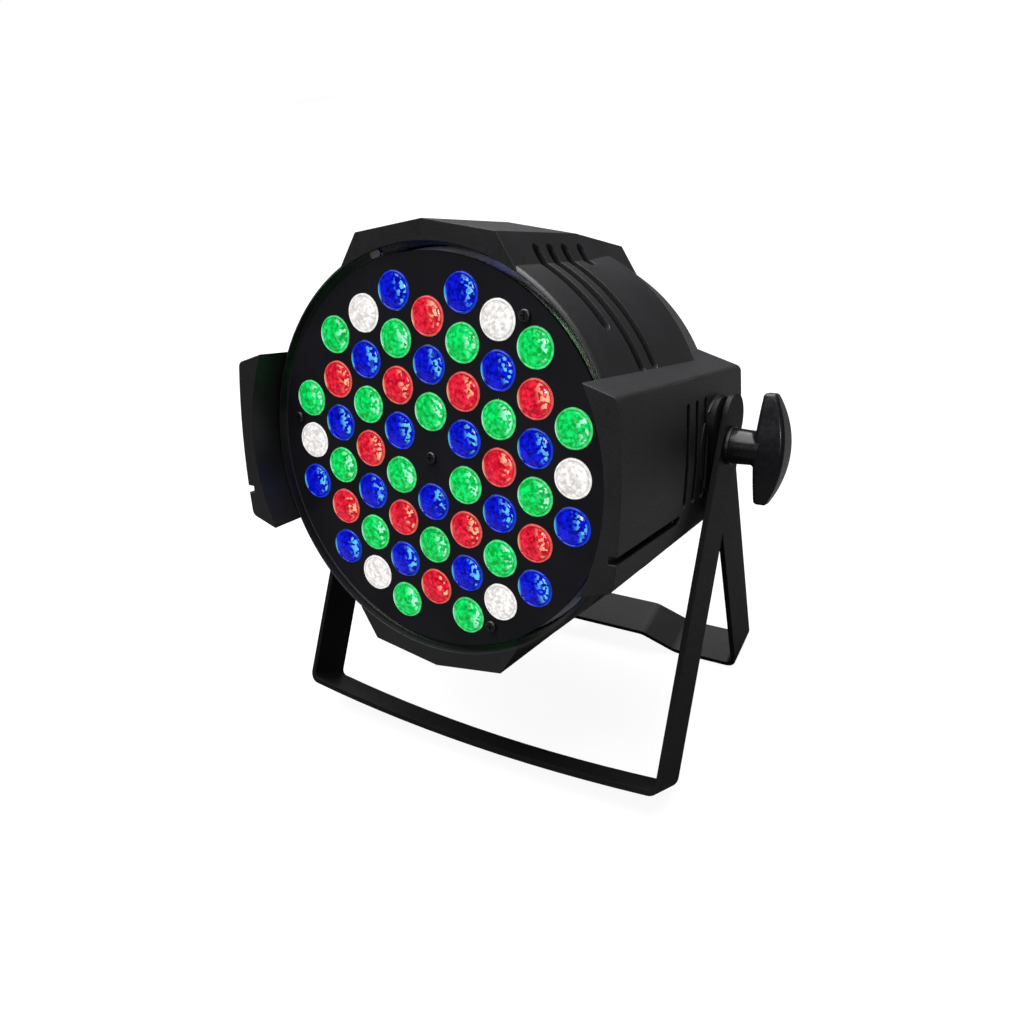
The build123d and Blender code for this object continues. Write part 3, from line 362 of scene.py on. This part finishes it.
def make_materials():
    """One material for each of the record's material slots."""
    made = {}
    for maker, looks in ((coated, COATED), (lit_lens, LIT_LENSES), (circuit, CIRCUITS)):
        for name, look in looks.items():
            made[name] = maker(name, **look)
    return made


MATERIALS = make_materials()


def dress_cad_nodes():
    """Give every carried-over CAD node the material of its slot."""
    for entry in frame["record"]["subparts"]:
        mesh = nodes[entry["node"]].data
        mesh.materials.clear()
        mesh.materials.append(MATERIALS[entry["material_slot"]])


# ---- lenses ---------------------------------------------------------------------------
def lens_colour(column, row):
    """Diagonal colour order, with white at six places of the field."""
    if abs(column) == 4 and row == 0 or abs(column) == 2 and abs(row) == 3:
        return "white"
    return ("red", "green", "blue")[round(row + 1.5 * column) % 3]


def lens_sites():
    """Centre and colour of each lens: a hexagonal lattice less its middle and its corners."""
    sites = []
    span = range(-LATTICE_RINGS, LATTICE_RINGS + 1)
    for column in span:
        offset = 0.5 * (column % 2)
        for step in span:
            row = step + offset
            ring = max(abs(column), abs(row) + abs(column) / 2)
            side_corner = abs(column) == LATTICE_RINGS and abs(row) == LATTICE_RINGS / 2
            corner = ring == LATTICE_RINGS and (side_corner or column == 0)
            if 0 < ring <= LATTICE_RINGS and not corner:
                place = Vector((column * PITCH * math.sqrt(3) / 2, 0, row * PITCH))
                sites.append((place, lens_colour(column, row)))
    return sites


def cell_height(x, z):
    """Height of the moulded cells on a triangular lattice: 1 at a cell's middle, 0 at its reach."""
    best = CELL
    row = round(z / (CELL * math.sqrt(3) / 2))
    for r in (row - 1, row, row + 1):
        shift = CELL / 2 if r % 2 else 0
        column = round((x - shift) / CELL)
        near_x = column * CELL + shift
        near_z = r * CELL * math.sqrt(3) / 2
        best = min(best, math.hypot(x - near_x, z - near_z))
    return 1 - (best / CELL_REACH) ** 2


def add_lens(bm, place, turn, local):
    """One lens: cone, bead and a dome covered with small moulded cells, turned by an angle.

    local takes each vertex's place across the lens, in lens radii.
    """
    rings = [(radius * MM, depth * MM, False) for radius, depth in LENS_PROFILE]
    foot = rings[-1][0]
    for i in range(1, DOME_RINGS):
        radius = foot * (1 - i / DOME_RINGS)
        rings.append((radius, -LENS_DOME * (1 - (radius / foot) ** 2), True))
    c, s = math.cos(turn), math.sin(turn)
    made = []
    for radius, ring_depth, celled in rings:
        row = []
        for k in range(LENS_SEGMENTS):
            angle = 2 * math.pi * k / LENS_SEGMENTS
            x, z = radius * math.cos(angle), radius * math.sin(angle)
            depth = ring_depth
            if celled:
                fade = min(1, (foot - radius) / CELL_FADE)
                depth -= CELL_RELIEF * fade * cell_height(c * x - s * z, s * x + c * z)
            vert = bm.verts.new(HEAD @ (place + Vector((x, depth, z))))
            local[vert] = (x / LENS_R, z / LENS_R)
            row.append(vert)
        made.append(row)
    for inner, outer in zip(made, made[1:]):
        for k in range(LENS_SEGMENTS):
            n = (k + 1) % LENS_SEGMENTS
            bm.faces.new((inner[k], inner[n], outer[n], outer[k]))
    tip = bm.verts.new(HEAD @ (place + Vector((0, -LENS_DOME - LENS_TIP, 0))))
    local[tip] = (0, 0)
    for k in range(LENS_SEGMENTS):
        bm.faces.new((made[-1][k], made[-1][(k + 1) % LENS_SEGMENTS], tip))
    bm.faces.new(made[0])


def spread_uv(bm, local):
    """Lay each lens over the whole UV square, so its material knows the lens's own middle."""
    layer = bm.loops.layers.uv.new("lens")
    for face in bm.faces:
        for loop in face.loops:
            x, z = local[loop.vert]
            loop[layer].uv = (0.5 + x / 2, 0.5 + z / 2)


def link_mesh(name, bm):
    """Turn a bmesh into a smooth object in the scene."""
    bmesh.ops.recalc_face_normals(bm, faces=bm.faces)
    mesh = bpy.data.meshes.new(name)
    bm.to_mesh(mesh)
    bm.free()
    mesh.polygons.foreach_set("use_smooth", [True] * len(mesh.polygons))
    piece = bpy.data.objects.new(name, mesh)
    bpy.context.scene.collection.objects.link(piece)
    return piece


def make_lenses():
    """The four sets of moulded lenses, in place of the CAD's plain ones."""
    turner = random.Random(CELL_TURN_SEED)
    for colour in ("red", "green", "blue", "white"):
        bm = bmesh.new()
        local = {}
        for place, name in lens_sites():
            turn = turner.uniform(0, math.pi / 3)
            if name == colour:
                add_lens(bm, place, turn, local)
        spread_uv(bm, local)
        piece = link_mesh(f"moulded_lenses_{colour}", bm)
        piece.data.materials.append(MATERIALS[f"lens_{colour}"])
        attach(piece, "head")
        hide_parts(f"lenses_{colour}")


# ---- stage, lights and camera ---------------------------------------------------------
def make_floor():
    bm = bmesh.new()
    bmesh.ops.create_grid(bm, x_segments=1, y_segments=1, size=FLOOR_HALF)
    floor = link_mesh("floor", bm)
    material, tree, shader = new_material("floor_paper")
    tone = two_tones(tree, object_noise(tree, 3), *(grey(value) for value in FLOOR_TONES))
    tree.links.new(tone, shader.inputs["Base Color"])
    shader.inputs["Roughness"].default_value = 0.9
    shader.inputs["Specular IOR Level"].default_value = 0.1
    path = tree.nodes.new("ShaderNodeLightPath")
    glow = math_node(tree, "MULTIPLY", path.outputs["Is Camera Ray"], FLOOR_GLOW)
    tree.links.new(glow, shader.inputs["Emission Strength"])
    shader.inputs["Emission Color"].default_value = (1, 1, 1, 1)
    floor.data.materials.append(material)


def make_world():
    """White surroundings that light the object only a little."""
    world = bpy.data.worlds.new("studio")
    world.use_nodes = True
    tree = world.node_tree
    shader = tree.nodes["Background"]
    path = tree.nodes.new("ShaderNodeLightPath")
    strength = tree.nodes.new("ShaderNodeMapRange")
    strength.inputs["To Min"].default_value = WORLD_LIGHT
    strength.inputs["To Max"].default_value = 1.0
    tree.links.new(path.outputs["Is Camera Ray"], strength.inputs["Value"])
    tree.links.new(strength.outputs["Result"], shader.inputs["Strength"])
    shader.inputs["Color"].default_value = (1, 1, 1, 1)
    bpy.context.scene.world = world


def area_light(name, place, target, size, power):
    """A square lamp aimed at a point."""
    light = bpy.data.lights.new(name, "AREA")
    light.shape = "SQUARE"
    light.size = size
    light.energy = power
    lamp = bpy.data.objects.new(name, light)
    aim = (Vector(target) - Vector(place)).to_track_quat("-Z", "Y")
    lamp.matrix_world = Matrix.Translation(place) @ aim.to_matrix().to_4x4()
    bpy.context.scene.collection.objects.link(lamp)


def make_lights():
    area_light("overhead", place=(-0.45, 0.5, 2.4), target=(-0.1, 0.2, 0), size=3.2, power=300)
    area_light("front_card", place=HEAD @ Vector((0.30, -1.60, 0.42)), target=LENS_MIDDLE,
               size=0.26, power=9)


def turned(degrees, axis):
    return Matrix.Rotation(math.radians(degrees), 4, axis)


def make_camera():
    camera = bpy.data.objects.new("camera", bpy.data.cameras.new("camera"))
    camera.data.sensor_width = CAMERA_SENSOR
    camera.data.lens = CAMERA_FOCAL
    camera.data.clip_start = CAMERA_CLIP
    place = Matrix.Translation(CAMERA_PLACE)
    aim = turned(CAMERA_SWING, "Z") @ turned(90 - CAMERA_DIP, "X") @ turned(CAMERA_ROLL, "Z")
    camera.matrix_world = HEAD @ place @ aim
    bpy.context.scene.collection.objects.link(camera)
    bpy.context.scene.camera = camera


dress_cad_nodes()
make_lenses()
make_floor()
make_world()
make_lights()
make_camera()
bpy.context.scene.view_settings.view_transform = "Standard"
